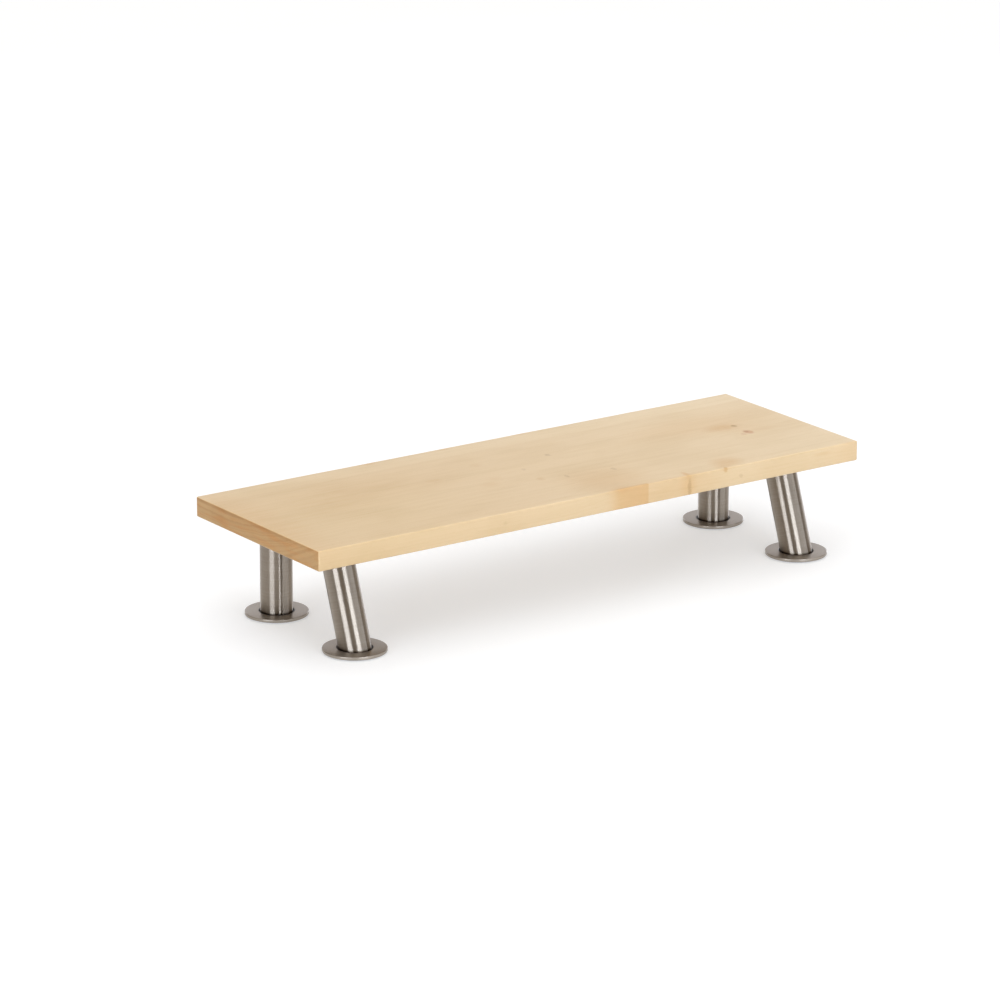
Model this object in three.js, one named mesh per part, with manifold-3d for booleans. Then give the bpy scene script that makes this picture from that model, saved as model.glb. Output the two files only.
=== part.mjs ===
// A wooden display riser: a maple plank on four steel tube legs with round feet.
// Millimetres, +Z up, the front towards -Y. The riser stands on z = 0, and the origin
// lies under the middle of the whole object.

import * as THREE from 'three';
import { RoundedBoxGeometry } from 'three/addons/geometries/RoundedBoxGeometry.js';
import { mergeVertices, toCreasedNormals } from 'three/addons/utils/BufferGeometryUtils.js';
import Module from 'manifold-3d';

// Board
const boardLength = 609.6;
const boardWidth = 203.2;
const boardThickness = 19.05;
const boardEdgeRadius = 1.2;

// Stance: where the legs meet the board, and how the front pair leans
const undersideHeight = 90;
const legEndInset = 53;
const frontLegInset = 53;
const rearLegInset = 50.7;
const frontLeanDegrees = 19.5;

// Leg tube
const tubeDiameter = 30;
const tubeWall = 1.5;

// Foot disc, which reaches past the tube all round, and the pad under it
const footReach = 14.5;
const footThickness = 3;
const discChamfer = 0.5;
const padInset = 3;
const padThickness = 1;

// Plate between the tube and the board
const plateThickness = 3;
const plateRimWidth = 3;

// Seat for the tube's end, sunk into the foot disc and into the plate
const seatDepth = 1.2;
const seatClearance = 1.2;

// Countersunk wood screws that hold each plate to the board
const screwsPerPlate = 3;
const screwHeadDiameter = 8;
const screwHeadRim = 0.4;
const screwShankDiameter = 4;
const screwTipLength = 3;
const screwSeatSpacing = 1.5;
const woodAboveScrew = 6;
const driveSlotSpan = 3.8;
const driveSlotWidth = 1;
const driveSlotDepth = 1.4;

// Room between pieces: bonded or welded faces, and a screw in its hole
const bondGap = 0.1;
const screwClearance = 0.2;

// Fineness of the round surfaces
const roundSides = 48;
const screwSides = 12;
const edgeSteps = 2;
const creaseAngle = THREE.MathUtils.degToRad(30);

// Heights above the floor, from the pad upwards
const footBottom = padThickness + bondGap;
const footTop = footBottom + footThickness;
const tubeBottom = footTop - seatDepth + bondGap;
const plateTop = undersideHeight - bondGap;
const plateBottom = plateTop - plateThickness;
const tubeTop = plateBottom + seatDepth - bondGap;
const boardTop = undersideHeight + boardThickness;

// Radii that follow from the sizes above
const tubeRadius = tubeDiameter / 2;
const footRadius = tubeRadius + footReach;
const padRadius = footRadius - padInset;
const seatRadius = tubeRadius + seatClearance;
const screwHeadRadius = screwHeadDiameter / 2;
const screwShankRadius = screwShankDiameter / 2;
const frontLean = THREE.MathUtils.degToRad(frontLeanDegrees);
const widestSeat = seatRadius / Math.cos(frontLean) + seatDepth * Math.tan(frontLean);
const screwCircleRadius = widestSeat + screwSeatSpacing + screwHeadRadius;
const plateRadius = screwCircleRadius + screwHeadRadius + plateRimWidth;
const screwLength = boardTop - woodAboveScrew - plateBottom;

const wasm = await Module();
wasm.setup();

const maple = new THREE.MeshStandardMaterial({ color: '#e3cba8', roughness: 0.55, metalness: 0 });
const brushedSteel = new THREE.MeshStandardMaterial({ color: '#b8b2a8', roughness: 0.35, metalness: 1 });
const screwSteel = new THREE.MeshStandardMaterial({ color: '#c8c6c0', roughness: 0.4, metalness: 1 });
const greyRubber = new THREE.MeshStandardMaterial({ color: '#aeadaa', roughness: 0.8, metalness: 0 });

// A closed geometry as a solid that can be joined and cut.
function toSolid(geometry) {
  geometry.deleteAttribute('normal');
  geometry.deleteAttribute('uv');
  const merged = mergeVertices(geometry);
  const triangles = [];
  for (let corner = 0; corner < merged.index.count; corner += 3) {
    const triangle = [0, 1, 2].map((step) => merged.index.getX(corner + step));
    if (new Set(triangle).size === triangle.length) triangles.push(...triangle);
  }
  return new wasm.Manifold(
    new wasm.Mesh({
      numProp: 3,
      vertProperties: merged.attributes.position.array,
      triVerts: Uint32Array.from(triangles),
    }),
  );
}

// A solid's surface as a named mesh, smooth across its round faces and sharp at its edges.
function toMesh(name, solid, material) {
  const { vertProperties, triVerts } = solid.getMesh();
  const geometry = new THREE.BufferGeometry();
  geometry.setAttribute('position', new THREE.BufferAttribute(vertProperties, 3));
  geometry.setIndex(new THREE.BufferAttribute(triVerts, 1));
  const mesh = new THREE.Mesh(toCreasedNormals(geometry, creaseAngle), material);
  mesh.name = name;
  return mesh;
}

// A solid turned round +Z from a profile of [radius, height] points that starts and ends on the axis.
function turned(profile, sides) {
  const points = profile.map(([radius, height]) => new THREE.Vector2(radius, height));
  return toSolid(new THREE.LatheGeometry(points, sides).rotateX(Math.PI / 2));
}

// A flat round disc between two heights, with both rims chamfered.
function disc(radius, bottom, top) {
  const profile = [
    [0, bottom],
    [radius - discChamfer, bottom],
    [radius, bottom + discChamfer],
    [radius, top - discChamfer],
    [radius - discChamfer, top],
    [0, top],
  ];
  return turned(profile, roundSides);
}

// How far the foot stands from under the top plate of a leg with this lean.
function footOffset(lean) {
  return -(plateBottom - footTop) * Math.tan(lean);
}

// The part of a cylinder along a leg's axis that lies between two heights. The axis crosses the
// middle of the plate's lower face and the middle of the foot's upper face.
function legCylinder(lean, radius, bottom, top) {
  const reach = boardTop / Math.cos(lean) + radius * Math.tan(lean);
  const cylinder = new THREE.CylinderGeometry(radius, radius, 2 * reach, roundSides)
    .rotateX(Math.PI / 2 - lean)
    .translate(0, footOffset(lean) / 2, (plateBottom + footTop) / 2);
  const layer = new THREE.BoxGeometry(4 * reach, 4 * reach, top - bottom)
    .translate(0, 0, (bottom + top) / 2);
  return toSolid(cylinder).intersect(toSolid(layer));
}

// A hollow tube, open at both ends, whose ends are cut level.
function tube(lean) {
  const outside = legCylinder(lean, tubeRadius, tubeBottom, tubeTop);
  const bore = legCylinder(lean, tubeRadius - tubeWall, footBottom, plateTop);
  return outside.subtract(bore);
}

// The disc that a leg stands on, with a sunk seat round the tube's end.
function foot(lean) {
  const seat = legCylinder(lean, seatRadius, footTop - seatDepth, plateBottom);
  return disc(footRadius, footBottom, footTop).translate(0, footOffset(lean), 0).subtract(seat);
}

// The anti-slip pad under a foot.
function pad(lean) {
  const profile = [[0, 0], [padRadius, 0], [padRadius, padThickness], [0, padThickness]];
  return turned(profile, roundSides).translate(0, footOffset(lean), 0);
}

// Where the screws stand round the middle of a top plate: the first one points to the back.
function screwPlaces() {
  return Array.from({ length: screwsPerPlate }, (_, index) => {
    const angle = Math.PI / 2 + (index / screwsPerPlate) * 2 * Math.PI;
    return [screwCircleRadius * Math.cos(angle), screwCircleRadius * Math.sin(angle)];
  });
}

// A screw's outline from its head's lower face upwards, widened by some room all round.
function screwProfile(headBottom, room) {
  const headTop = plateBottom + screwHeadRim + screwHeadRadius - screwShankRadius;
  const tip = plateBottom + screwLength + room;
  return [
    [0, headBottom],
    [screwHeadRadius + room, headBottom],
    [screwHeadRadius + room, plateBottom + screwHeadRim],
    [screwShankRadius + room, headTop],
    [screwShankRadius + room, tip - screwTipLength],
    [0, tip],
  ];
}

// A countersunk wood screw, its head level with the plate's lower face, with a cross slot for the driver.
function screw() {
  const slots = [[driveSlotSpan, driveSlotWidth], [driveSlotWidth, driveSlotSpan]].map(([width, span]) =>
    toSolid(new THREE.BoxGeometry(width, span, 2 * driveSlotDepth).translate(0, 0, plateBottom)),
  );
  return turned(screwProfile(plateBottom, 0), screwSides).subtract(slots[0].add(slots[1]));
}

// The room that a screw needs in the plate and in the board, with a clear way in from below.
function screwHole() {
  return turned(screwProfile(footTop, screwClearance), screwSides);
}

// The plate under the board, with a sunk seat round the tube's end and countersunk screw holes.
function topPlate(lean) {
  const seat = legCylinder(lean, seatRadius, footTop, plateBottom + seatDepth);
  const blank = disc(plateRadius, plateBottom, plateTop).subtract(seat);
  return screwPlaces().reduce((plate, [x, y]) => plate.subtract(screwHole().translate(x, y, 0)), blank);
}

// The plank, with blind holes in its underside for the screws of every leg.
function board(legs) {
  const plank = new RoundedBoxGeometry(boardLength, boardWidth, boardThickness, edgeSteps, boardEdgeRadius)
    .translate(0, 0, undersideHeight + boardThickness / 2);
  const holes = legs.flatMap(({ x, y }) =>
    screwPlaces().map(([screwX, screwY]) => screwHole().translate(x + screwX, y + screwY, 0)),
  );
  return holes.reduce((solid, hole) => solid.subtract(hole), toSolid(plank));
}

// One leg with everything that belongs to it, standing on the floor under its top plate.
function legGroup({ name, x, y, lean }) {
  const group = new THREE.Group();
  group.position.set(x, y, 0);
  group.add(
    toMesh(`${name}_tube`, tube(lean), brushedSteel),
    toMesh(`${name}_foot`, foot(lean), brushedSteel),
    toMesh(`${name}_foot_pad`, pad(lean), greyRubber),
    toMesh(`${name}_top_plate`, topPlate(lean), brushedSteel),
  );
  screwPlaces().forEach(([screwX, screwY], index) => {
    const mesh = toMesh(`${name}_screw_${index + 1}`, screw(), screwSteel);
    mesh.position.set(screwX, screwY, 0);
    group.add(mesh);
  });
  return group;
}

const legX = boardLength / 2 - legEndInset;
const frontLegY = frontLegInset - boardWidth / 2;
const rearLegY = boardWidth / 2 - rearLegInset;
const legs = [
  { name: 'front_left', x: -legX, y: frontLegY, lean: frontLean },
  { name: 'front_right', x: legX, y: frontLegY, lean: frontLean },
  { name: 'rear_left', x: -legX, y: rearLegY, lean: 0 },
  { name: 'rear_right', x: legX, y: rearLegY, lean: 0 },
];

// The front feet stand out past the board, so the middle of the object lies ahead of the board's middle.
const frontReach = Math.min(-boardWidth / 2, frontLegY + footOffset(frontLean) - footRadius);
const rearReach = Math.max(boardWidth / 2, rearLegY + footRadius);

const riser = new THREE.Group();
riser.position.y = -(frontReach + rearReach) / 2;
riser.add(toMesh('board', board(legs), maple), ...legs.map(legGroup));

export default riser;
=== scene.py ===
"""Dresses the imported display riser: a maple plank on brushed steel legs, on a pale studio floor.

Metres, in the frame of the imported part: +X along the plank to the right, +Y to the back, +Z up.
Materials are laid out in millimetres from the origin of their piece.
"""

import math

import bmesh
import bpy
from mathutils import Matrix, Vector, noise


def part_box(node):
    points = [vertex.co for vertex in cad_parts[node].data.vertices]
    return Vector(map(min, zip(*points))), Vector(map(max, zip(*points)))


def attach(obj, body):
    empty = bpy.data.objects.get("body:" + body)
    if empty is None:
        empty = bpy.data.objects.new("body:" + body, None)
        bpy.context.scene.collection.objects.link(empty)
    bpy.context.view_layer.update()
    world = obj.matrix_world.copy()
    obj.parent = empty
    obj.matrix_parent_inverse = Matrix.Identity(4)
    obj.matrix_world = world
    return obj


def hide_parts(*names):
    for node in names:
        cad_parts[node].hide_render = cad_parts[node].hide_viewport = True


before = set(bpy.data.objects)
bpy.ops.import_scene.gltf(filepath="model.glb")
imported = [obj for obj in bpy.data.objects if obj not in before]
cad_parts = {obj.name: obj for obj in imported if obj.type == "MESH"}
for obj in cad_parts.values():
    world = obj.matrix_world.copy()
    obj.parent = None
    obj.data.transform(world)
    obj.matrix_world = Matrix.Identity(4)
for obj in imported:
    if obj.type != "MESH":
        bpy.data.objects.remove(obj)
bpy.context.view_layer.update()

MM = 0.001
UP = 1
DOWN = -1

LEGS = ("front_left", "front_right", "rear_left", "rear_right")
SCREWS_PER_LEG = 3

# Plank: its edges are eased by hand, so they wander a little, and its wide faces dip a little
EDGE_RADIUS = 1.2 * MM
EDGE_WANDER = 0.25
EDGE_WANDER_LENGTH = 45 * MM
EDGE_WANDER_SEED = 0.5
EDGE_STEPS = 5
FACE_DIP = 0.05 * MM
FACE_DIP_LENGTH = 60 * MM
PLANK_STATION_SPACING = 10 * MM
PLANK_LANES = 20

# Legs: tubes in sunk seats of the foot discs and the top plates. A leaning seat is longer than wide
ROUND_SIDES = 128
TUBE_WALL = 1.5 * MM
TUBE_END_CHAMFER = 0.25 * MM
RIM_ROUNDING = 0.6 * MM
RIM_STEPS = 5
SEAT_CLEARANCE = 1.2 * MM
SEAT_GAP = 0.1 * MM
SEAT_LIP = 0.15 * MM
SEAT_STRETCH = 1.2

# Anti-slip pads, with shallow rings in their undersides
PAD_ROUNDING = 0.3 * MM
PAD_GROOVES = 4
PAD_GROOVE_DEPTH = 0.25 * MM
PAD_GROOVE_WIDTH = 1.2 * MM

# Countersunk wood screws
SCREW_SIDES = 36
SCREW_HEAD_RIM = 0.4 * MM
SCREW_EDGE_ROUNDING = 0.1 * MM
SCREW_SHANK_RADIUS = 2.0 * MM
SCREW_CORE_RADIUS = 1.4 * MM
SCREW_NECK_LENGTH = 2.4 * MM
SCREW_TIP_LENGTH = 3.0 * MM
SCREW_POINT_RADIUS = 0.002 * MM
SCREW_PITCH = 1.6 * MM
SCREW_STATIONS_PER_TURN = 12
SCREW_CREST_SHARE = 0.28
DRIVE_SPAN = 3.8 * MM
DRIVE_WIDTH = 1.0 * MM
DRIVE_DEPTH = 1.4 * MM
DRIVE_TAPER = 0.6

# Screw holes: the shape of a screw with room all round, and a clear way in from below
HOLE_SIDES = 24
HOLE_ROOM = 0.2 * MM
HOLE_POINT_RADIUS = 0.1 * MM
HOLE_ENTRY = 1.4 * MM

SHARP_ANGLE = math.radians(30)
MERGE_DISTANCE = 0.001 * MM


class Graph:
    """Adds nodes to a shader. What goes into a node is a number, a tuple or another node's output."""

    # Sockets of a colour mix: its factor, its first and second colour, and its result
    MIX_INPUTS = (0, 6, 7)
    MIX_RESULT = 2
    NOISE_MIDDLE = 0.5

    def __init__(self, tree):
        self.tree = tree

    def feed(self, socket, value):
        if isinstance(value, bpy.types.NodeSocket):
            self.tree.links.new(value, socket)
        else:
            socket.default_value = value

    def node(self, kind, inputs=(), **settings):
        made = self.tree.nodes.new(kind)
        for name, value in settings.items():
            setattr(made, name, value)
        for socket, value in dict(inputs).items():
            self.feed(made.inputs[socket], value)
        return made

    def dress(self, shader, base, roughness, normal):
        """Feeds the three inputs that every surface has detail in."""
        for name, value in {"Base Color": base, "Roughness": roughness, "Normal": normal}.items():
            self.feed(shader.inputs[name], value)

    def coordinate(self, kind):
        return self.node("ShaderNodeTexCoord").outputs[kind]

    def millimetres(self):
        """The place on the piece, in millimetres from its own origin."""
        return self.vector("DIVIDE", self.coordinate("Object"), (MM, MM, MM))

    def math(self, operation, *values):
        return self.node("ShaderNodeMath", enumerate(values), operation=operation).outputs[0]

    def vector(self, operation, *values):
        made = self.node("ShaderNodeVectorMath", enumerate(values), operation=operation)
        is_number = operation in ("LENGTH", "DOT_PRODUCT")
        return made.outputs["Value" if is_number else "Vector"]

    def split(self, place):
        return self.node("ShaderNodeSeparateXYZ", {0: place}).outputs

    def join(self, *values):
        return self.node("ShaderNodeCombineXYZ", enumerate(values)).outputs[0]

    def from_axis(self, place):
        """Distance from the upright axis through the piece's origin."""
        x, y, _ = self.split(place)
        return self.vector("LENGTH", self.join(x, y, 0.0))

    def reach_from(self, place, middle, reach):
        """How far a place is from a mark's middle, where 1 is the mark's rim."""
        return self.vector("LENGTH", self.vector("DIVIDE", self.vector("SUBTRACT", place, middle), reach))

    def noise_node(self, place, grain, detail):
        scaled = self.vector("DIVIDE", place, grain)
        return self.node("ShaderNodeTexNoise", {"Vector": scaled, "Scale": 1.0, "Detail": detail})

    def noise(self, place, grain, detail):
        """Noise from 0 to 1, about 0.5, whose grains have the given size along each axis."""
        return self.noise_node(place, grain, detail).outputs[0]

    def noise_colour(self, place, grain, detail):
        """Three independent noises in one colour."""
        return self.noise_node(place, grain, detail).outputs["Color"]

    def noise_along(self, distance, grain, detail=2.0):
        """Noise from 0 to 1 that changes with a distance alone."""
        scaled = self.math("DIVIDE", distance, grain)
        inputs = {"W": scaled, "Scale": 1.0, "Detail": detail}
        return self.node("ShaderNodeTexNoise", inputs, noise_dimensions="1D").outputs[0]

    def centred(self, value):
        """A noise about 0 instead of about 0.5."""
        return self.math("SUBTRACT", value, self.NOISE_MIDDLE)

    def fade(self, value, start, end, low=0.0, high=1.0):
        """Goes smoothly from low to high as the value goes from start to end."""
        ends = {"Value": value, "From Min": start, "From Max": end, "To Min": low, "To Max": high}
        return self.node("ShaderNodeMapRange", ends, interpolation_type="SMOOTHSTEP").outputs[0]

    def mix(self, factor, first, second, blend="MIX"):
        inputs = zip(self.MIX_INPUTS, (factor, first, second))
        made = self.node("ShaderNodeMix", inputs, data_type="RGBA", blend_type=blend)
        return made.outputs[self.MIX_RESULT]

    def tinted(self, base, *layers):
        """A colour multiplied by tones, each of which shows by its own amount."""
        for amount, tone in layers:
            base = self.mix(amount, base, tone, "MULTIPLY")
        return base

    def bump(self, height, distance, strength=1.0):
        inputs = {"Height": height, "Distance": distance, "Strength": strength}
        return self.node("ShaderNodeBump", inputs).outputs[0]


def new_material(name):
    """A material with a plain Principled shader, and the graph that feeds it."""
    material = bpy.data.materials.new(name)
    material.use_nodes = True
    shader = material.node_tree.nodes["Principled BSDF"]
    return material, shader, Graph(material.node_tree)


def colour(red, green, blue):
    return (red, green, blue, 1.0)


# A NOISE is the size of its grains along each axis and its detail. A FADE is what Graph.fade takes

# Maple: two kinds of wood, and the tones that are laid over them
HEARTWOOD = colour(0.7125, 0.526, 0.3085)
SAPWOOD = colour(0.7375, 0.5575, 0.3385)
SAPWOOD_FADE = (73.5, 78.0)
# Painted light: the plank grows paler and less yellow towards its right end
RIGHT_END_PAINTED_LIGHT = colour(1.11, 1.175, 1.28)
CLOUD_TONE = colour(0.955, 0.94, 0.905)
CLOUD_NOISE = ((95, 45, 45), 3.0)
CLOUD_FADE = (0.4, 0.7)
FIGURE_TONE = colour(0.979, 0.974, 0.955)
FIGURE_NOISE = ((75, 9, 9), 4.0)
FIGURE_FADE = (0.42, 0.68)
FIBRE_TONE = colour(0.982, 0.974, 0.957)
FIBRE_NOISE = ((45, 0.9, 0.9), 3.0)
FIBRE_FADE = (0.4, 0.75)
FIBRE_HEIGHT = 0.5
DASH_NOISE = ((9, 1.1, 1.1), 2.0)
DASH_FADE = (0.58, 0.72)
PORE_TONE = colour(0.90, 0.85, 0.78)
PORE_NOISE = ((3.0, 0.22, 0.22), 1.0)
PORE_FADE = (0.66, 0.76)
PORE_DEPTH = 0.6
WOOD_RELIEF = 0.06 * MM
WOOD_ROUGHNESS_FADE = (0.2, 0.8, 0.42, 0.56)

# Growth rings round a pith above the plank, in millimetres from the plank's middle
PITH = (0.0, 60.0, 320.0)
RING_SPACING = 3.2
RING_SWAY = 9.0
RING_SWAY_NOISE = ((240, 80, 80), 2.0)
RING_WAVER = 1.8
RING_WAVER_NOISE = ((40, 10, 10), 2.0)
RING_STRENGTH_GRAIN = 7.0
RING_STRENGTH_FADE = (0.3, 0.7)
LATEWOOD_TONE = colour(0.982, 0.975, 0.957)
LATEWOOD_RISE = (0.2, 0.9)
LATEWOOD_FALL = (1.0, 0.92)

# Front and back faces and ends of the plank, which show their own grain where they look squarely that way.
# Their tones also hold painted shade: the front and back faces a little darker, and the ends darker still,
# for how the light falls on them
EDGE_GRAIN_AND_SHADE_TONE = colour(0.915, 0.877, 0.821)
EDGE_GRAIN_AND_SHADE_FADE = (0.6, 0.9)
END_GRAIN_AND_SHADE_TONE = colour(0.77, 0.63, 0.457)
END_GRAIN_AND_SHADE_FADE = (0.8, 0.97)
END_RING_TONE = colour(0.91, 0.86, 0.79)
END_RING_GRAIN = 3.5
END_RING_FADE = (0.4, 0.65)
END_BLOTCH_TONE = colour(1.02, 0.88, 0.70)
END_BLOTCH_NOISE = ((60, 34, 6), 3.0)
END_BLOTCH_FADE = (0.45, 0.65)
# Painted shade: an uneven dark band along the top edge of each end
END_RIM_SHADE = colour(0.86, 0.80, 0.72)
END_RIM_FADE = (4.5, 9.0)
END_RIM_NOISE = ((30, 30, 30), 2.0)
END_RIM_NOISE_FADE = (0.3, 0.6, 0.3, 1.0)

# Wear and a painted highlight along the plank's edges, which paint them paler. They start and are full at
# these distances from two of its faces
WORN_HIGHLIT_EDGE_TONE = colour(1.05, 1.04, 1.02)
WORN_HIGHLIT_EDGE_START = 1.6
WORN_HIGHLIT_EDGE_FULL = 0.2
WORN_HIGHLIT_EDGE_NOISE = ((18, 18, 18), 2.0)
WORN_HIGHLIT_EDGE_FADE = (0.35, 0.65, 0.3, 1.0)

# Marks: how far their outlines waver, and the share of their reach that has their full strength
STAIN_WAVER = (6.0, 6.0, 0.0)
STAIN_WAVER_NOISE = ((16, 12, 12), 3.0)
STAIN_RIM = 0.1
SPOT_WAVER = (3.0, 3.0, 0.0)
SPOT_WAVER_NOISE = ((5, 3.5, 3.5), 3.0)
SPOT_FRAY = (5.0, 0.8, 0.0)
SPOT_FRAY_NOISE = ((9, 0.8, 0.8), 3.0)
SPOT_RIM = 0.45

# Tones of the marks
RED_KNOT = colour(0.68, 0.37, 0.25)
DARK_KNOT = colour(0.54, 0.43, 0.24)
KNOT_CORE = colour(0.70, 0.56, 0.45)
FLECK = colour(0.66, 0.58, 0.50)
AMBER = colour(0.82, 0.66, 0.45)
OLIVE = colour(0.62, 0.52, 0.37)
ORANGE = colour(0.92, 0.77, 0.58)
TAN = colour(0.915, 0.825, 0.70)
PALE = colour(1.03, 1.05, 1.08)
STRAW = colour(0.99, 0.995, 0.95)

# Faces of the plank that marks lie on, in millimetres from its middle
TOP_Z = 9.5
FRONT_Y = -101.6
BACK_Y = 101.6
LEFT_X = -304.8

# Where the rings swell round a knot: middle, reach and height of the swelling, in millimetres
SWELLINGS = (
    ((239, -18, TOP_Z), (48, 22, 24), 7.0),
    ((240, 6, TOP_Z), (32, 17, 20), 5.0),
    ((36, -85, TOP_Z), (75, 45, 24), 8.0),
)

# Soft changes of tone in the wood: middle and reach in millimetres, tone and strength
STAINS = (
    # broad ones
    ((LEFT_X, 0, TOP_Z), (45, 190, 30), ORANGE, 0.35),
    ((-190, 25, TOP_Z), (140, 60, 30), TAN, 0.25),
    ((-230, -20, TOP_Z), (170, 150, 30), STRAW, 0.8),
    ((-190, 92, TOP_Z), (150, 14, 6), PALE, 0.6),
    ((290, -85, TOP_Z), (130, 60, 40), PALE, 1.0),
    ((215, 25, TOP_Z), (130, 45, 30), TAN, 0.5),
    # streak and halo of the two knots near the right end
    ((262, -17, TOP_Z), (30, 7, 8), TAN, 0.3),
    ((226, 8, TOP_Z), (28, 16, 14), TAN, 1.0),
    ((242, -9, TOP_Z), (44, 20, 10), TAN, 0.3),
    # faint patches on the top
    ((-15, -32, TOP_Z), (6, 8, 6), TAN, 0.6),
    ((-63, -20, TOP_Z), (14, 9, 6), TAN, 0.4),
    ((-49, -6, TOP_Z), (13, 8, 6), TAN, 0.3),
    ((-39, 38, TOP_Z), (10, 7, 6), TAN, 0.3),
    ((-99, 18, TOP_Z), (11, 8, 6), TAN, 0.35),
    ((-191, 41, TOP_Z), (13, 8, 6), TAN, 0.25),
    ((-219, 18, TOP_Z), (11, 8, 6), TAN, 0.2),
    # the swirl that reaches over the front edge
    ((34, -68, TOP_Z), (58, 54, 9), TAN, 0.6),
    ((28, -99, TOP_Z), (14, 12, 6), ORANGE, 0.25),
    # round the mineral marks, and along the front face
    ((160, -86, TOP_Z), (24, 20, 6), TAN, 1.0),
    ((148, -97, TOP_Z), (14, 12, 6), TAN, 0.55),
    ((104, -96, TOP_Z), (4.5, 10, 8), ORANGE, 0.8),
    ((103, FRONT_Y, 0), (14, 7, 20), ORANGE, 0.4),
    ((90, FRONT_Y, 0), (80, 9, 30), ORANGE, 0.34),
    ((220, FRONT_Y, 0), (90, 7, 30), ORANGE, 0.15),
    ((304, FRONT_Y, 0), (60, 7, 30), ORANGE, 0.4),
    ((262, FRONT_Y, 4), (16, 3, 2.5), AMBER, 0.25),
    # dull places along the back edge
    ((-119, BACK_Y, TOP_Z), (15, 9, 6), TAN, 1.0),
    ((-33, BACK_Y, TOP_Z), (12, 7, 6), TAN, 0.8),
    ((55, BACK_Y, TOP_Z), (13, 8, 6), TAN, 0.8),
)

# Small marks with clear rims, in the same terms
SPOTS = (
    # the red knot and the pin knot near the right end, each with a darker core
    ((239, -18, TOP_Z), (6.2, 8.4, 16), RED_KNOT, 0.54),
    ((238, -16, TOP_Z), (2.8, 4.2, 16), KNOT_CORE, 0.5),
    ((231, -21, TOP_Z), (3.5, 4.5, 12), RED_KNOT, 0.25),
    ((240, 6, TOP_Z), (3.6, 4.8, 12), DARK_KNOT, 0.5),
    ((240, 6.5, TOP_Z), (1.6, 2.6, 12), KNOT_CORE, 0.55),
    # flecks
    ((36, 28, TOP_Z), (2.8, 4.6, 6), FLECK, 0.5),
    ((-10, 2, TOP_Z), (2.8, 4.6, 6), FLECK, 0.3),
    ((10, -39, TOP_Z), (2.8, 5.4, 6), FLECK, 0.42),
    ((60, -44, TOP_Z), (2.8, 5.4, 6), FLECK, 0.38),
    ((165, FRONT_Y, -1), (3, 3, 2.6), FLECK, 0.3),
    ((-104, FRONT_Y, 0), (3, 3, 2.6), FLECK, 0.15),
    # mineral spot and mineral line at the front edge
    ((147, -101, 8), (3.2, 3.4, 3.6), AMBER, 0.75),
    ((105, FRONT_Y, -3), (3, 6, 12), OLIVE, 0.45),
)

# The swirl's patch on the front face, which ends sharply at its right side
FRONT_PATCH_STRENGTH = 0.75
FRONT_PATCH_LEFT = (6.0, 28.0, 0.0, FRONT_PATCH_STRENGTH)
FRONT_PATCH_RIGHT = (58.0, 56.5)
FRONT_PATCH_DEPTH = (-96.0, -101.0)


def ring_radius(graph, place, sway):
    """Distance from the pith, which sways along the plank and swells round the knots."""
    _, y, z = graph.split(place)
    waver = graph.centred(graph.noise(place, *RING_WAVER_NOISE))
    radius = graph.vector("LENGTH", graph.vector("SUBTRACT", graph.join(0.0, y, z), PITH))
    radius = graph.math("MULTIPLY_ADD", sway, RING_SWAY, radius)
    radius = graph.math("MULTIPLY_ADD", waver, RING_WAVER, radius)
    for middle, reach, swelling in SWELLINGS:
        near_knot = graph.fade(graph.reach_from(place, middle, reach), 1.0, 0.0)
        radius = graph.math("MULTIPLY_ADD", near_knot, swelling, radius)
    return radius


def latewood(graph, radius):
    """The dark late part of each ring, which is stronger in some rings than in others."""
    ring = graph.math("FRACT", graph.math("DIVIDE", radius, RING_SPACING))
    late = graph.math("MULTIPLY", graph.fade(ring, *LATEWOOD_RISE), graph.fade(ring, *LATEWOOD_FALL))
    strength = graph.fade(graph.noise_along(radius, RING_STRENGTH_GRAIN), *RING_STRENGTH_FADE)
    return graph.math("MULTIPLY", late, strength)


def plain_wood(graph, place, half_length, sway):
    """Heartwood with a pale band of sapwood along the back, both painted paler towards the right end with
    painted light.
    """
    x, y, _ = graph.split(place)
    sapwood = graph.fade(graph.math("MULTIPLY_ADD", sway, RING_SWAY, y), *SAPWOOD_FADE)
    wood = graph.mix(sapwood, HEARTWOOD, SAPWOOD)
    # Painted light, paler towards the right end
    return graph.tinted(wood, (graph.fade(x, -half_length, half_length), RIGHT_END_PAINTED_LIGHT))


def grained(graph, wood, place, radius, fibre, pore):
    """Wood with clouds, figure, growth rings, fibres, short dashes and pores."""
    return graph.tinted(
        wood,
        (graph.fade(graph.noise(place, *CLOUD_NOISE), *CLOUD_FADE), CLOUD_TONE),
        (graph.fade(graph.noise(place, *FIGURE_NOISE), *FIGURE_FADE), FIGURE_TONE),
        (latewood(graph, radius), LATEWOOD_TONE),
        (graph.fade(fibre, *FIBRE_FADE), FIBRE_TONE),
        (graph.fade(graph.noise(place, *DASH_NOISE), *DASH_FADE), FIBRE_TONE),
        (pore, PORE_TONE),
    )


def wavering(graph, place, noise_sizes, amount):
    """Places shifted to and fro along the faces, so that marks get uneven outlines."""
    middle = (graph.NOISE_MIDDLE, graph.NOISE_MIDDLE, graph.NOISE_MIDDLE)
    shift = graph.vector("SUBTRACT", graph.noise_colour(place, *noise_sizes), middle)
    return graph.vector("MULTIPLY_ADD", shift, amount, place)


def marked(graph, wood, place, marks, rim):
    """Wood with marks on it, each at full strength inside a share of its reach."""
    layers = [
        (graph.fade(graph.reach_from(place, middle, reach), 1.0, rim, 0.0, strength), tone)
        for middle, reach, tone, strength in marks
    ]
    return graph.tinted(wood, *layers)


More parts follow.
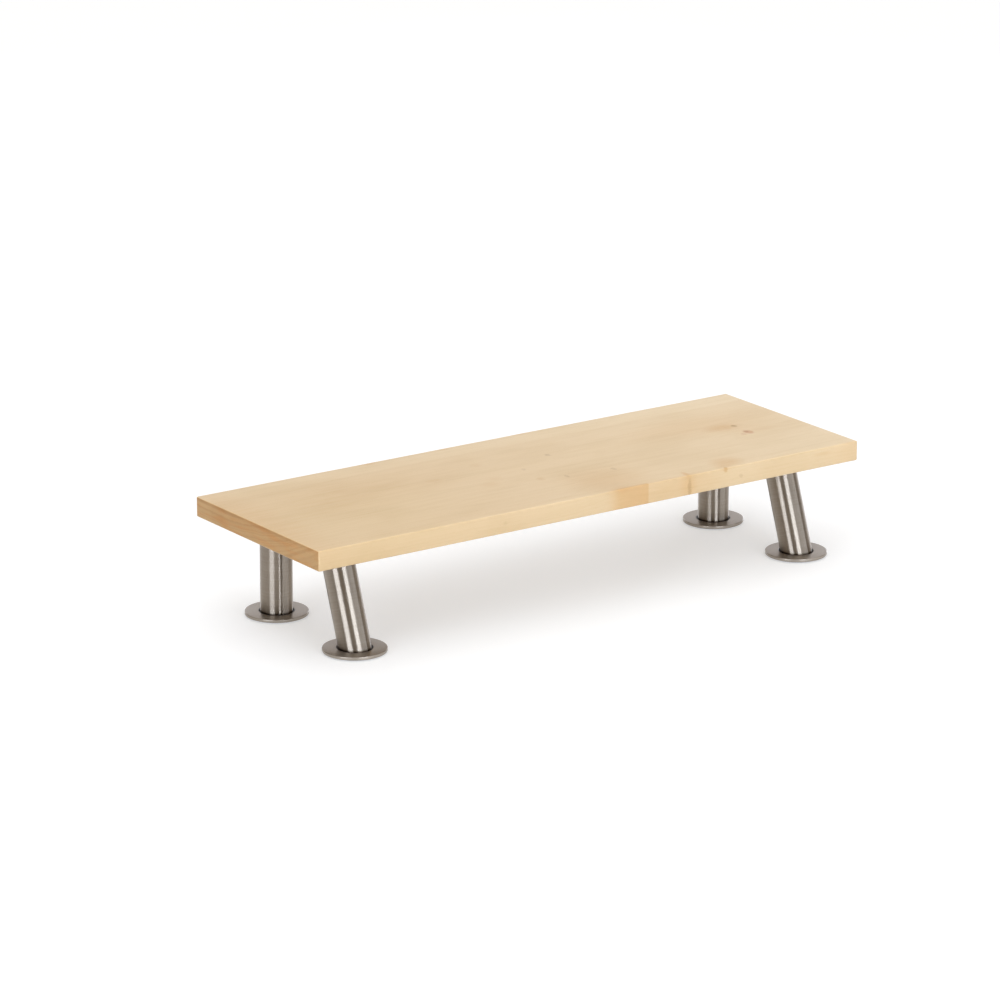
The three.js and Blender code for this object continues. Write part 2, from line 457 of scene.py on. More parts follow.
def with_marks(graph, wood, place):
    """Wood with the plank's own stains and spots, and the swirl's patch on its front face."""
    warped = wavering(graph, place, STAIN_WAVER_NOISE, STAIN_WAVER)
    wood = marked(graph, wood, warped, STAINS, STAIN_RIM)
    frayed = wavering(graph, place, SPOT_WAVER_NOISE, SPOT_WAVER)
    frayed = wavering(graph, frayed, SPOT_FRAY_NOISE, SPOT_FRAY)
    wood = marked(graph, wood, frayed, SPOTS, SPOT_RIM)
    x, y, _ = graph.split(place)
    patch = graph.fade(graph.split(warped)[0], *FRONT_PATCH_LEFT)
    patch = graph.math("MULTIPLY", patch, graph.fade(x, *FRONT_PATCH_RIGHT))
    patch = graph.math("MULTIPLY", patch, graph.fade(y, *FRONT_PATCH_DEPTH))
    return graph.tinted(wood, (patch, ORANGE))


def shaded_end_grain(graph, wood, place, radius):
    """The darker wood of the plank's ends, partly end grain and partly painted shade, with rings, blotches
    and an uneven dark rim of painted shade at the top.
    """
    rings = graph.fade(graph.noise_along(radius, END_RING_GRAIN), *END_RING_FADE)
    blotch = graph.fade(graph.noise(place, *END_BLOTCH_NOISE), *END_BLOTCH_FADE)
    uneven = graph.fade(graph.noise(place, *END_RIM_NOISE), *END_RIM_NOISE_FADE)
    rim = graph.math("MULTIPLY", graph.fade(graph.split(place)[2], *END_RIM_FADE), uneven)
    return graph.tinted(
        wood,
        (1.0, END_GRAIN_AND_SHADE_TONE),
        (rings, END_RING_TONE),
        (blotch, END_BLOTCH_TONE),
        (rim, END_RIM_SHADE),
    )


def worn_highlit_edges(graph, place, half):
    """How worn and highlit the wood is, where a painted highlight shows with the wear: only near the edges,
    where a place lies close to two faces.
    """
    near = [
        graph.fade(graph.math("ABSOLUTE", value), side - WORN_HIGHLIT_EDGE_START, side - WORN_HIGHLIT_EDGE_FULL)
        for value, side in zip(graph.split(place), half)
    ]
    following = near[1:] + near[:1]
    pairs = [graph.math("MULTIPLY", first, second) for first, second in zip(near, following)]
    edge = graph.math("MAXIMUM", graph.math("MAXIMUM", pairs[0], pairs[1]), pairs[2])
    return graph.math("MULTIPLY", edge, graph.fade(graph.noise(place, *WORN_HIGHLIT_EDGE_NOISE), *WORN_HIGHLIT_EDGE_FADE))


def maple(size):
    """Plain-sawn maple: rings round a pith above the plank, faint figure, and the plank's own marks."""
    material, shader, graph = new_material("maple_plank")
    place = graph.millimetres()
    half = [side / 2 / MM for side in size]
    sway = graph.centred(graph.noise(place, *RING_SWAY_NOISE))
    radius = ring_radius(graph, place, sway)
    fibre = graph.noise(place, *FIBRE_NOISE)
    pore = graph.fade(graph.noise(place, *PORE_NOISE), *PORE_FADE)

    wood = plain_wood(graph, place, half[0], sway)
    wood = grained(graph, wood, place, radius, fibre, pore)
    wood = with_marks(graph, wood, place)
    facing = graph.split(graph.vector("ABSOLUTE", graph.coordinate("Normal")))
    # Front and back faces: edge grain and painted shade
    wood = graph.tinted(wood, (graph.fade(facing[1], *EDGE_GRAIN_AND_SHADE_FADE), EDGE_GRAIN_AND_SHADE_TONE))
    # Ends: end grain and painted shade, darker
    end_wood = shaded_end_grain(graph, wood, place, radius)
    wood = graph.mix(graph.fade(facing[0], *END_GRAIN_AND_SHADE_FADE), wood, end_wood)
    # Paler edges: wear and a painted highlight
    wood = graph.tinted(wood, (worn_highlit_edges(graph, place, half), WORN_HIGHLIT_EDGE_TONE))

    raised = graph.math("MULTIPLY", fibre, FIBRE_HEIGHT)
    height = graph.math("SUBTRACT", raised, graph.math("MULTIPLY", pore, PORE_DEPTH))
    roughness = graph.fade(fibre, *WOOD_ROUGHNESS_FADE)
    graph.dress(shader, wood, roughness, graph.bump(height, WOOD_RELIEF))
    return material


# Steel: a warm grey, brushed round the axis of each tube and disc, with painted shade where a tube meets
# its disc
STEEL = colour(0.286, 0.243, 0.199)
STEEL_LIGHT = colour(0.342, 0.295, 0.2445)
STEEL_LIGHT_FADE = (0.25, 0.75)
BRUSH_REACH = (14, 14, 14)
BRUSH_SPACING = 0.16
BRUSH_DETAIL = 3.0
BRUSH_DEPTH = 0.004 * MM
BRUSH_STRENGTH = 0.5
BAND_SPACING = 2.2
BAND_STRENGTH = 0.5
SMUDGE_NOISE = ((11, 11, 11), 3.0)
SMUDGE_STRENGTH = 0.5
ROUGHNESS_LEVELS = (0.2, 0.8)
METAL = 1.0
TUBE_ROUGHNESS = (0.28, 0.35)
TUBE_ANISOTROPY = 1.0
DISC_ROUGHNESS = (0.27, 0.37)
DISC_ANISOTROPY = 0.4
DISC_METALLIC = 0.72
QUARTER_TURN = 0.25
# Painted shade: a darker tone on the tubes near their ends and on the discs round their seats
SEAM_SHADE_TONE = colour(0.22, 0.19, 0.17)
TUBE_SHADE_FADE = (3.2, 1.2)
DISC_SHADE_FADE = (17.7, 16.2)

# Painted shade in the seats, near black
SEAM = colour(0.045, 0.038, 0.032)
SEAM_LIGHT = colour(0.09, 0.078, 0.066)
SEAM_NOISE = ((0.6, 0.6, 0.6), 3.0)
SEAM_ROUGHNESS_FADE = (0.3, 0.7, 0.55, 0.8)
SEAM_RELIEF = 0.05 * MM

# Plain steel of the screws. The turning marks' noise runs outwards and upwards
SCREW_STEEL = colour(0.50, 0.49, 0.46)
SCREW_STEEL_LIGHT = colour(0.62, 0.61, 0.58)
SCREW_STAIN_NOISE = ((2.5, 2.5, 2.5), 3.0)
SCREW_STAIN_FADE = (0.3, 0.7)
SCREW_TURNING_NOISE = ((0.12, 1, 0.2), 2.0)
SCREW_ROUGHNESS_FADE = (0.25, 0.75, 0.24, 0.4)
SCREW_TURNING_DEPTH = 0.01 * MM

# Silicone rubber of the pads
RUBBER = colour(0.39, 0.39, 0.38)
RUBBER_DUSTY = colour(0.47, 0.465, 0.45)
RUBBER_DUST_NOISE = ((9, 9, 9), 4.0)
RUBBER_DUST_FADE = (0.35, 0.7)
RUBBER_GRAIN_NOISE = ((0.35, 0.35, 0.35), 2.0)
RUBBER_ROUGHNESS_FADE = (0.3, 0.7, 0.66, 0.82)
RUBBER_RELIEF = 0.05 * MM


def brush_lines(graph, place, across):
    """Fine lines across one direction, each of which changes slowly along its way."""
    slowly = graph.vector("DIVIDE", place, BRUSH_REACH)
    quickly = graph.math("DIVIDE", across, BRUSH_SPACING)
    inputs = {"Vector": slowly, "W": quickly, "Scale": 1.0, "Detail": BRUSH_DETAIL}
    return graph.node("ShaderNodeTexNoise", inputs, noise_dimensions="4D").outputs[0]


def brushed_steel(name, roughness, lines_across, tone_mask):
    """Steel with fine lines across one direction and painted shade, a darker tone, where it meets its
    neighbour.
    """
    material, shader, graph = new_material(name)
    place = graph.millimetres()
    across = lines_across(graph, place)
    lines = brush_lines(graph, place, across)
    bands = graph.centred(graph.noise_along(across, BAND_SPACING))
    light = graph.math("MULTIPLY_ADD", bands, BAND_STRENGTH, lines)
    steel = graph.mix(graph.fade(light, *STEEL_LIGHT_FADE), STEEL, STEEL_LIGHT)
    # Painted shade: darker where the piece meets its neighbour
    steel = graph.tinted(steel, (tone_mask(graph, place), SEAM_SHADE_TONE))
    smudges = graph.centred(graph.noise(place, *SMUDGE_NOISE))
    rough = graph.math("MULTIPLY_ADD", smudges, SMUDGE_STRENGTH, lines)
    rough = graph.fade(rough, *ROUGHNESS_LEVELS, *roughness)
    graph.dress(shader, steel, rough, graph.bump(lines, BRUSH_DEPTH, BRUSH_STRENGTH))
    return material, shader, graph


def tube_steel(name, axis, half_height):
    """Steel brushed round a tube, with painted shade near both of its ends."""
    def along(graph, place):
        return graph.vector("DOT_PRODUCT", place, axis)

    def near_ends(graph, place):
        from_end = graph.math("SUBTRACT", half_height / MM, graph.math("ABSOLUTE", graph.split(place)[2]))
        return graph.fade(from_end, *TUBE_SHADE_FADE)

    material, shader, graph = brushed_steel(name, TUBE_ROUGHNESS, along, near_ends)
    shader.inputs["Metallic"].default_value = METAL
    shader.inputs["Anisotropic"].default_value = TUBE_ANISOTROPY
    graph.feed(shader.inputs["Tangent"], graph.join(*axis))
    return material


def disc_steel(name):
    """Steel turned round the middle of a flat disc, with painted shade round its seat."""
    def near_seat(graph, place):
        return graph.fade(graph.from_axis(place), *DISC_SHADE_FADE)

    material, shader, graph = brushed_steel(name, DISC_ROUGHNESS, Graph.from_axis, near_seat)
    shader.inputs["Metallic"].default_value = DISC_METALLIC
    shader.inputs["Anisotropic"].default_value = DISC_ANISOTROPY
    shader.inputs["Anisotropic Rotation"].default_value = QUARTER_TURN
    tangent = graph.node("ShaderNodeTangent", direction_type="RADIAL", axis="Z").outputs[0]
    graph.feed(shader.inputs["Tangent"], tangent)
    return material


def painted_seam_shade():
    """Painted shade in the seat round a tube's end: near black, speckled and rough."""
    material, shader, graph = new_material("painted_seam_shade")
    speckle = graph.noise(graph.millimetres(), *SEAM_NOISE)
    painted_shade = graph.mix(speckle, SEAM, SEAM_LIGHT)
    roughness = graph.fade(speckle, *SEAM_ROUGHNESS_FADE)
    graph.dress(shader, painted_shade, roughness, graph.bump(speckle, SEAM_RELIEF))
    return material


def screw_steel():
    """Plain steel with fine turning marks round each screw."""
    material, shader, graph = new_material("screw_steel")
    place = graph.millimetres()
    out_and_up = graph.join(graph.from_axis(place), 0.0, graph.split(place)[2])
    turning = graph.noise(out_and_up, *SCREW_TURNING_NOISE)
    tone_mask = graph.fade(graph.noise(place, *SCREW_STAIN_NOISE), *SCREW_STAIN_FADE)
    steel = graph.mix(tone_mask, SCREW_STEEL, SCREW_STEEL_LIGHT)
    roughness = graph.fade(turning, *SCREW_ROUGHNESS_FADE)
    graph.dress(shader, steel, roughness, graph.bump(turning, SCREW_TURNING_DEPTH))
    shader.inputs["Metallic"].default_value = METAL
    return material


def pad_rubber():
    """Matt grey silicone with a fine moulded grain."""
    material, shader, graph = new_material("pad_rubber")
    place = graph.millimetres()
    grain = graph.noise(place, *RUBBER_GRAIN_NOISE)
    dust = graph.fade(graph.noise(place, *RUBBER_DUST_NOISE), *RUBBER_DUST_FADE)
    rubber = graph.mix(dust, RUBBER, RUBBER_DUSTY)
    roughness = graph.fade(grain, *RUBBER_ROUGHNESS_FADE)
    graph.dress(shader, rubber, roughness, graph.bump(grain, RUBBER_RELIEF))
    return material


def show(thing):
    """Adds an object to the scene."""
    bpy.context.scene.collection.objects.link(thing)


def smooth(mesh):
    """Shades a mesh smooth on its round faces and sharp at its edges."""
    mesh.polygons.foreach_set("use_smooth", [True] * len(mesh.polygons))
    mesh.set_sharp_from_angle(angle=SHARP_ANGLE)


def finished_mesh(name, shape):
    """The mesh of a finished shape, which is used up."""
    bmesh.ops.remove_doubles(shape, verts=shape.verts, dist=MERGE_DISTANCE)
    bmesh.ops.recalc_face_normals(shape, faces=shape.faces)
    mesh = bpy.data.meshes.new(name)
    shape.to_mesh(mesh)
    shape.free()
    smooth(mesh)
    return mesh


def coat(mesh, *materials):
    """Gives a mesh its materials, instead of any that it has."""
    mesh.materials.clear()
    for material in materials:
        mesh.materials.append(material)


def place_piece(name, mesh, place, nodes):
    """Shows a mesh instead of CAD nodes, with its own origin at the given place."""
    piece = bpy.data.objects.new(name, mesh)
    piece.location = place
    show(piece)
    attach(piece, "root")
    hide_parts(*nodes)


def add_skin(shape, rings, closed=False):
    """Adds a surface through rings of points. The last ring joins the first, or both ends are capped."""
    loops = [[shape.verts.new(point) for point in ring] for ring in rings]
    pairs = list(zip(loops, loops[1:]))
    if closed:
        pairs.append((loops[-1], loops[0]))
    for lower, upper in pairs:
        for index in range(len(lower)):
            following = (index + 1) % len(lower)
            shape.faces.new((lower[index], lower[following], upper[following], upper[index]))
    if not closed:
        shape.faces.new(loops[0])
        shape.faces.new(loops[-1])


def skin_mesh(name, rings, closed=False):
    """The mesh of a single skin."""
    shape = bmesh.new()
    add_skin(shape, rings, closed)
    return finished_mesh(name, shape)


def cut(mesh, tool):
    """A mesh with the tool's shape taken out of it. Both are used up."""
    name = mesh.name
    blank = bpy.data.objects.new("blank", mesh)
    knife = bpy.data.objects.new("knife", tool)
    for helper in (blank, knife):
        show(helper)
    modifier = blank.modifiers.new("cut", "BOOLEAN")
    modifier.object = knife
    modifier.operation = "DIFFERENCE"
    modifier.solver = "EXACT"
    depsgraph = bpy.context.evaluated_depsgraph_get()
    result = bpy.data.meshes.new_from_object(blank.evaluated_get(depsgraph))
    for helper in (blank, knife):
        bpy.data.objects.remove(helper)
    for used in (mesh, tool):
        bpy.data.meshes.remove(used)
    result.name = name
    smooth(result)
    return result


def circle(radius, height, sides=ROUND_SIDES, stretch=1.0, shift=0.0):
    """A level ring of points, which may be stretched and shifted along Y."""
    angles = [2 * math.pi * index / sides for index in range(sides)]
    return [
        Vector((radius * math.cos(angle), shift + stretch * radius * math.sin(angle), height))
        for angle in angles
    ]


def turned(profile, sides=ROUND_SIDES):
    """Rings round the origin through a profile of radius and height."""
    return [circle(radius, height, sides) for radius, height in profile]


def leg_rings(profile, lean, level):
    """Rings round a leg through a profile of radius and height. Its axis crosses the origin at level."""
    stretch = 1 / math.cos(lean)
    return [
        circle(radius, height, ROUND_SIDES, stretch, (height - level) * math.tan(lean))
        for radius, height in profile
    ]


def rounded_rim(radius, bottom, top, rounding):
    """Radius and height along the rim of a flat disc, from its lower face to its upper face."""
    angles = [math.pi / 2 * step / RIM_STEPS for step in range(RIM_STEPS + 1)]
    inner = radius - rounding
    lower = [
        (inner + rounding * math.sin(angle), bottom + rounding * (1 - math.cos(angle)))
        for angle in angles
    ]
    upper = [
        (inner + rounding * math.cos(angle), top - rounding * (1 - math.sin(angle)))
        for angle in angles
    ]
    return lower + upper


def screw_nodes(*legs):
    """Names of the screws at some legs."""
    return [f"{leg}_screw_{index}" for leg in legs for index in range(1, SCREWS_PER_LEG + 1)]


def screw_origin(node):
    """The middle of a screw's head, at its lower face."""
    low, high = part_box(node)
    return Vector(((low.x + high.x) / 2, (low.y + high.y) / 2, low.z))


def screw_hole(size):
    """Rings round the space that a screw needs, from below its head to its point."""
    head = size.x / 2 + HOLE_ROOM
    shank = SCREW_SHANK_RADIUS + HOLE_ROOM
    cone_top = SCREW_HEAD_RIM + size.x / 2 - SCREW_SHANK_RADIUS
    tip = size.z + HOLE_ROOM
    profile = (
        (head, -HOLE_ENTRY),
        (head, SCREW_HEAD_RIM),
        (shank, cone_top),
        (shank, tip - SCREW_TIP_LENGTH),
        (HOLE_POINT_RADIUS, tip),
    )
    return turned(profile, HOLE_SIDES)


def screw_tool(nodes, origin):
    """The holes of several screws, as one shape to cut with, measured from an origin."""
    tool = bmesh.new()
    for node in nodes:
        low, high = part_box(node)
        shift = screw_origin(node) - origin
        add_skin(tool, [[point + shift for point in ring] for ring in screw_hole(high - low)])
    return finished_mesh("screw_tool", tool)


def plank_section(half_width, half_height, radius, x, dip):
    """Points round the plank's cross-section at x: rounded corners, and points across its wide faces."""
    points = []
    # Side along Y, side along Z and first angle in degrees of each rounded corner
    corners = ((1, -1, -90), (1, 1, 0), (-1, 1, 90), (-1, -1, 180))
    for side_y, side_z, start in corners:
        middle = Vector((x, side_y * (half_width - radius), side_z * (half_height - radius)))
        for step in range(EDGE_STEPS + 1):
            angle = math.radians(start + 90 * step / EDGE_STEPS)
            points.append(middle + radius * Vector((0, math.cos(angle), math.sin(angle))))
        if side_y == side_z:
            for lane in range(1, PLANK_LANES):
                y = side_y * (half_width - radius) * (1 - 2 * lane / PLANK_LANES)
                sunk = dip * (1 + noise.noise(Vector((x, y, side_z)) / FACE_DIP_LENGTH)) / 2
                points.append(Vector((x, y, side_z * (half_height - sunk))))
    return points


def plank_end(size, side):
    """Cross-sections of the plank's left or right end, from its flat face to where its edges are full."""
    half_length, half_width, half_height = size / 2
    sections = []
    for step in range(EDGE_STEPS, -1, -1):
        angle = math.pi / 2 * step / EDGE_STEPS
        inset = EDGE_RADIUS * (1 - math.cos(angle))
        x = side * (half_length - EDGE_RADIUS * (1 - math.sin(angle)))
        sections.append(plank_section(half_width - inset, half_height - inset, EDGE_RADIUS - inset, x, 0.0))
    return sections


def plank_length(size):
    """Cross-sections between the plank's ends, with edges that wander and faces that dip."""
    half_length, half_width, half_height = size / 2
    stations = round(2 * half_length / PLANK_STATION_SPACING)
    sections = []
    for station in range(1, stations):
        x = half_length * (2 * station / stations - 1)
        wander = noise.noise(Vector((x / EDGE_WANDER_LENGTH, EDGE_WANDER_SEED, 0.0)))
        radius = EDGE_RADIUS * (1 + EDGE_WANDER * wander)
        sections.append(plank_section(half_width, half_height, radius, x, FACE_DIP))
    return sections


def make_plank():
    """The plank, a long sweep with blind holes for the screws in its underside."""
    low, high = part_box("board")
    middle = (low + high) / 2
    size = high - low
    rings = plank_end(size, -1) + plank_length(size) + plank_end(size, 1)[::-1]
    mesh = cut(skin_mesh("plank", rings), screw_tool(screw_nodes(*LEGS), middle))
    coat(mesh, maple(size))
    place_piece("plank", mesh, middle, ["board"])


def leg_lean(leg):
    """How far a leg leans from upright, from the places of its foot and its top plate."""
    foot_low, foot_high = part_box(f"{leg}_foot")
    plate_low, plate_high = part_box(f"{leg}_top_plate")
    across = (plate_low.y + plate_high.y - foot_low.y - foot_high.y) / 2
    return math.atan2(across, plate_low.z - foot_high.z)


def make_tube(leg, lean):
    """A hollow tube whose ends are cut level, with small chamfers."""
    low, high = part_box(f"{leg}_tube")
    outer = (high.x - low.x) / 2
    inner = outer - TUBE_WALL
    top = (high.z - low.z) / 2
    chamfer = TUBE_END_CHAMFER
    profile = (
        (outer - chamfer, -top),
        (outer, chamfer - top),
        (outer, top - chamfer),
        (outer - chamfer, top),
        (inner + chamfer, top),
        (inner, top - chamfer),
        (inner, chamfer - top),
        (inner + chamfer, -top),
    )
    mesh = skin_mesh(f"{leg}_leg", leg_rings(profile, lean, 0.0), closed=True)
    axis = (0.0, math.sin(lean), math.cos(lean))
    coat(mesh, tube_steel(f"brushed_steel_{leg}", axis, top))
    place_piece(mesh.name, mesh, (low + high) / 2, [f"{leg}_tube"])


def seat_radius(leg):
    """Radius of the seats for a leg's tube."""
    low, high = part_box(f"{leg}_tube")
    return (high.x - low.x) / 2 + SEAT_CLEARANCE


def seated_disc(name, node, lean, radius, depth, facing):
    """A flat disc with rounded rims and a sunk seat for the tube, in its upper or its lower face."""
    low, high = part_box(node)
    half = (high.z - low.z) / 2
    face = facing * half
    rim = rounded_rim((high.x - low.x) / 2, -half, half, RIM_ROUNDING)
    if facing == DOWN:
        rim.reverse()
    seat = (
        (radius + SEAT_LIP, face),
        (radius, face - facing * SEAT_LIP),
        (radius, face - facing * depth),
    )
    return skin_mesh(name, turned(rim) + leg_rings(seat, lean, face))


def darken_seat(mesh, node, radius, facing):
    """Gives the floor and the wall of a disc's seat the mesh's second material, its painted shade."""
    low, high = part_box(node)
    face = facing * (high.z - low.z) / 2
    for polygon in mesh.polygons:
        depth = facing * (face - polygon.center.z)
        inside = math.hypot(polygon.center.x, polygon.center.y) < radius * SEAT_STRETCH
        if inside and depth > SEAT_LIP:
            polygon.material_index = 1


def make_disc(leg, lean, steel, painted_shade):
    """The foot disc, with a dark seam of painted shade round the tube's end."""
    node = f"{leg}_foot"
    low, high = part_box(node)
    tube_low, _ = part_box(f"{leg}_tube")
    radius = seat_radius(leg)
    mesh = seated_disc(f"{leg}_disc", node, lean, radius, high.z - tube_low.z + SEAT_GAP, UP)
    coat(mesh, steel, painted_shade)
    darken_seat(mesh, node, radius, UP)
    place_piece(mesh.name, mesh, (low + high) / 2, [node])


def make_flange(leg, lean, steel, painted_shade):
    """The top plate, with countersunk holes for its screws."""
    node = f"{leg}_top_plate"
    low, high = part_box(node)
    middle = (low + high) / 2
    _, tube_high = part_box(f"{leg}_tube")
    radius = seat_radius(leg)
    blank = seated_disc(f"{leg}_flange", node, lean, radius, tube_high.z - low.z + SEAT_GAP, DOWN)
    mesh = cut(blank, screw_tool(screw_nodes(leg), middle))
    coat(mesh, steel, painted_shade)
    darken_seat(mesh, node, radius, DOWN)
    place_piece(mesh.name, mesh, middle, [node])


def make_pad(leg, rubber):
    """The pad under a foot, with rounded edges and shallow grooves in its underside."""
    node = f"{leg}_foot_pad"
    low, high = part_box(node)
    half = (high.z - low.z) / 2
    radius = (high.x - low.x) / 2
    spacing = radius / (PAD_GROOVES + 1)
    profile = []
    for groove in range(1, PAD_GROOVES + 1):
        inner = groove * spacing - PAD_GROOVE_WIDTH / 2
        outer = inner + PAD_GROOVE_WIDTH
        profile += [(inner, -half), (inner + PAD_GROOVE_DEPTH, PAD_GROOVE_DEPTH - half)]
        profile += [(outer - PAD_GROOVE_DEPTH, PAD_GROOVE_DEPTH - half), (outer, -half)]
    profile += rounded_rim(radius, -half, half, PAD_ROUNDING)
    mesh = skin_mesh(f"{leg}_pad", turned(profile))
    coat(mesh, rubber)
    place_piece(mesh.name, mesh, (low + high) / 2, [node])


def thread_ring(height, taper):
    """Points round a screw at a height, out on the ridge that climbs round its core."""
    ring = []
    for index in range(SCREW_SIDES):
        angle = 2 * math.pi * index / SCREW_SIDES
        turn = (height / SCREW_PITCH - angle / (2 * math.pi)) % 1.0
        ridge = max(0.0, 1 - abs(turn - 0.5) / SCREW_CREST_SHARE)
        radius = (SCREW_CORE_RADIUS + (SCREW_SHANK_RADIUS - SCREW_CORE_RADIUS) * ridge) * taper
        ring.append(Vector((radius * math.cos(angle), radius * math.sin(angle), height)))
    return ring


def screw_blank(size):
    """A countersunk wood screw without its recess: flat head, neck, climbing thread and point."""
    head = size.x / 2
    cone_top = SCREW_HEAD_RIM + head - SCREW_SHANK_RADIUS
    thread_start = cone_top + SCREW_NECK_LENGTH
    thread_length = size.z - thread_start
    profile = (
        (head - SCREW_EDGE_ROUNDING, 0.0),
        (head, SCREW_EDGE_ROUNDING),
        (head, SCREW_HEAD_RIM),
        (SCREW_SHANK_RADIUS, cone_top),
        (SCREW_SHANK_RADIUS, thread_start - SCREW_EDGE_ROUNDING),
    )
    rings = turned(profile, SCREW_SIDES)
    stations = round(thread_length / SCREW_PITCH * SCREW_STATIONS_PER_TURN)
    for station in range(stations):
        height = thread_start + thread_length * station / stations
        rings.append(thread_ring(height, min(1.0, (size.z - height) / SCREW_TIP_LENGTH)))
    rings.append(circle(SCREW_POINT_RADIUS, size.z, SCREW_SIDES))
    return skin_mesh("wood_screw", rings)


def drive_tool():
    """The cross recess for the driver, narrower towards its floor, as one shape to cut with."""
    rings = []
    turns = [Matrix.Rotation(math.pi / 2 * turn, 3, "Z") for turn in range(4)]
    for height, scale in ((-DRIVE_DEPTH, 2 - DRIVE_TAPER), (DRIVE_DEPTH, DRIVE_TAPER)):
        arm = DRIVE_SPAN / 2 * scale
        side = DRIVE_WIDTH / 2 * scale
        quarter = [Vector((x, y, height)) for x, y in ((arm, -side), (arm, side), (side, side))]
        rings.append([turn @ corner for turn in turns for corner in quarter])
    return skin_mesh("drive_tool", rings)


def make_screws():
    """Wood screws that share one mesh."""
    nodes = screw_nodes(*LEGS)
    low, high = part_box(nodes[0])
    mesh = cut(screw_blank(high - low), drive_tool())
    coat(mesh, screw_steel())
    for node in nodes:
        name = node.replace("_screw_", "_wood_screw_")
        place_piece(name, mesh, screw_origin(node), [node])


def make_legs():
    """All pieces of the four legs but their screws."""
    steel = disc_steel("brushed_steel_disc")
    # Painted shade for the seats round the tubes' ends
    painted_shade = painted_seam_shade()
    rubber = pad_rubber()
    for leg in LEGS:
        lean = leg_lean(leg)
        make_tube(leg, lean)
        make_disc(leg, lean, steel, painted_shade)
        make_flange(leg, lean, steel, painted_shade)
        make_pad(leg, rubber)


# Studio: pale floor, dim surroundings that are white to the back and overhead, and soft lights
FLOOR_REACH = 30.0
FLOOR_RISE = 0.05 * MM
FLOOR_SIDES = 96
FLOOR_GREY = colour(0.57, 0.57, 0.57)
FLOOR_PALE = colour(0.59, 0.59, 0.59)
FLOOR_NOISE = ((0.4, 0.4, 0.4), 4.0)
FLOOR_ROUGHNESS = 0.9
FLOOR_SPECULAR = 0.1
FLOOR_WHITE = colour(1.0, 1.0, 1.0)
FLOOR_WHITENESS = 0.47
SKY_FRONT = colour(0.186, 0.143, 0.096)
SKY_BACK = colour(0.93, 0.915, 0.94)
SKY_BACK_DIRECTION = (0.578, 0.816, 0.0)
SKY_BACK_FADE = (0.45, 0.9)
SKY_HIGH = colour(1.57, 1.57, 1.57)
SKY_HIGH_FADE = (0.5, 0.95)
SKY_BELOW = colour(0.8, 0.8, 0.8)
SKY_BELOW_FADE = (-0.2, -0.6)
LIGHT_HEIGHT = 0.8
LIGHT_COLOUR = (0.772, 0.865, 1.0)

# Place on the floor, width and brightness of each light
LIGHTS = {
    "left_softbox": ((-2.30, -0.98), 1.3, 8.8),
    "right_softbox": ((-0.30, -2.50), 1.15, 12.0),
    "right_fill": ((1.50, -2.31), 2.7, 2.54),
    "back_left_strip": ((0.45, 2.46), 0.45, 6.2),
    "back_right_strip": ((2.17, 1.24), 0.45, 6.2),
}

# Where the photograph was taken from, aimed at the middle of the plank's upper face
CAMERA_AZIMUTH = math.radians(-35.307)
CAMERA_ELEVATION = math.radians(16.914)
CAMERA_ROLL = math.radians(0.145)
CAMERA_DISTANCE = 4.4691
CAMERA_SIDE_STEP = -31.15 * MM
CAMERA_RISE = -29.61 * MM
CAMERA_LENS = 173.28
CAMERA_SENSOR = 36.0


def floor_paper():
    """Pale paper that looks white to the camera and in reflections, and can be seen through from below."""
    material, shader, graph = new_material("floor_paper")
    mottle = graph.noise(graph.coordinate("Object"), *FLOOR_NOISE)
    graph.feed(shader.inputs["Base Color"], graph.mix(mottle, FLOOR_GREY, FLOOR_PALE))
    shader.inputs["Roughness"].default_value = FLOOR_ROUGHNESS
    shader.inputs["Specular IOR Level"].default_value = FLOOR_SPECULAR
    path = graph.node("ShaderNodeLightPath").outputs
    seen = graph.math("MAXIMUM", path["Is Camera Ray"], path["Is Glossy Ray"])
    seen = graph.math("MAXIMUM", seen, path["Is Transmission Ray"])
    shader.inputs["Emission Color"].default_value = FLOOR_WHITE
    graph.feed(shader.inputs["Emission Strength"], graph.math("MULTIPLY", seen, FLOOR_WHITENESS))
    from_below = graph.node("ShaderNodeNewGeometry").outputs["Backfacing"]
    clear = graph.node("ShaderNodeBsdfTransparent").outputs[0]
    paper = graph.node("ShaderNodeMixShader", {0: from_below, 1: shader.outputs[0], 2: clear})
    graph.feed(material.node_tree.nodes["Material Output"].inputs["Surface"], paper.outputs[0])
    return material


def make_floor():
    """A wide round floor, a hair above the pads' undersides."""
    shape = bmesh.new()
    bmesh.ops.create_circle(shape, cap_ends=True, radius=FLOOR_REACH, segments=FLOOR_SIDES)
    mesh = bpy.data.meshes.new("floor")
    shape.to_mesh(mesh)
    shape.free()
    coat(mesh, floor_paper())
    floor = bpy.data.objects.new("floor", mesh)
    floor.location.z = FLOOR_RISE
    show(floor)


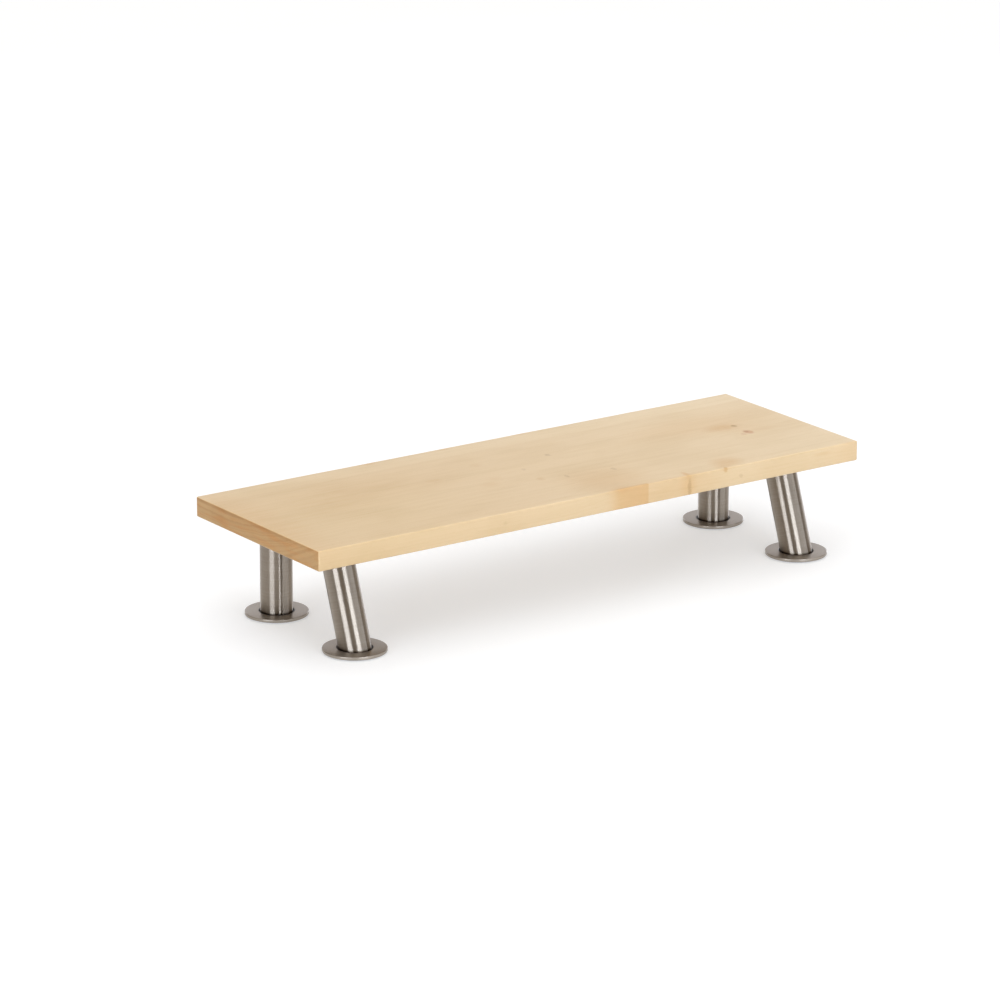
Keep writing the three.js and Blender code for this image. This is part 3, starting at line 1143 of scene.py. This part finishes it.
def make_world():
    """Surroundings whose light depends on the direction alone."""
    world = bpy.data.worlds.new("studio")
    world.use_nodes = True
    graph = Graph(world.node_tree)
    direction = graph.coordinate("Generated")
    up = graph.split(direction)[2]
    backward = graph.vector("DOT_PRODUCT", direction, SKY_BACK_DIRECTION)
    sky = graph.mix(graph.fade(backward, *SKY_BACK_FADE), SKY_FRONT, SKY_BACK)
    sky = graph.mix(graph.fade(up, *SKY_HIGH_FADE), sky, SKY_HIGH)
    sky = graph.mix(graph.fade(up, *SKY_BELOW_FADE), sky, SKY_BELOW)
    graph.feed(world.node_tree.nodes["Background"].inputs["Color"], sky)
    bpy.context.scene.world = world


def make_lights(target):
    """Upright soft lights that stand on the floor and face the target."""
    for name, ((x, y), width, brightness) in LIGHTS.items():
        lamp = bpy.data.lights.new(name, "AREA")
        lamp.shape = "RECTANGLE"
        lamp.size = width
        lamp.size_y = LIGHT_HEIGHT
        lamp.color = LIGHT_COLOUR
        lamp.energy = brightness * math.pi * width * LIGHT_HEIGHT
        light = bpy.data.objects.new(name, lamp)
        light.location = (x, y, LIGHT_HEIGHT / 2)
        toward = Vector((target.x - x, target.y - y, 0.0))
        light.rotation_euler = toward.to_track_quat("-Z", "Y").to_euler()
        light.visible_camera = False
        show(light)


def make_camera(target):
    """The photograph's camera, which looks past the target by a side step and a rise."""
    back = Vector((
        math.sin(CAMERA_AZIMUTH) * math.cos(CAMERA_ELEVATION),
        -math.cos(CAMERA_AZIMUTH) * math.cos(CAMERA_ELEVATION),
        math.sin(CAMERA_ELEVATION),
    ))
    level = Vector((0, 0, 1)).cross(back).normalized()
    rise = back.cross(level)
    right = math.cos(CAMERA_ROLL) * level + math.sin(CAMERA_ROLL) * rise
    up = back.cross(right)
    data = bpy.data.cameras.new("camera")
    data.lens = CAMERA_LENS
    data.sensor_width = CAMERA_SENSOR
    camera = bpy.data.objects.new("camera", data)
    turn = Matrix((right, up, back)).transposed()
    place = target + back * CAMERA_DISTANCE + right * CAMERA_SIDE_STEP + up * CAMERA_RISE
    camera.matrix_world = Matrix.Translation(place) @ turn.to_4x4()
    show(camera)
    bpy.context.scene.camera = camera


board_low, board_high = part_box("board")
board_top = Vector(((board_low.x + board_high.x) / 2, (board_low.y + board_high.y) / 2, board_high.z))

make_camera(board_top)
make_plank()
make_legs()
make_screws()
make_floor()
make_world()
make_lights(board_top)
bpy.context.scene.view_settings.view_transform = "Standard"
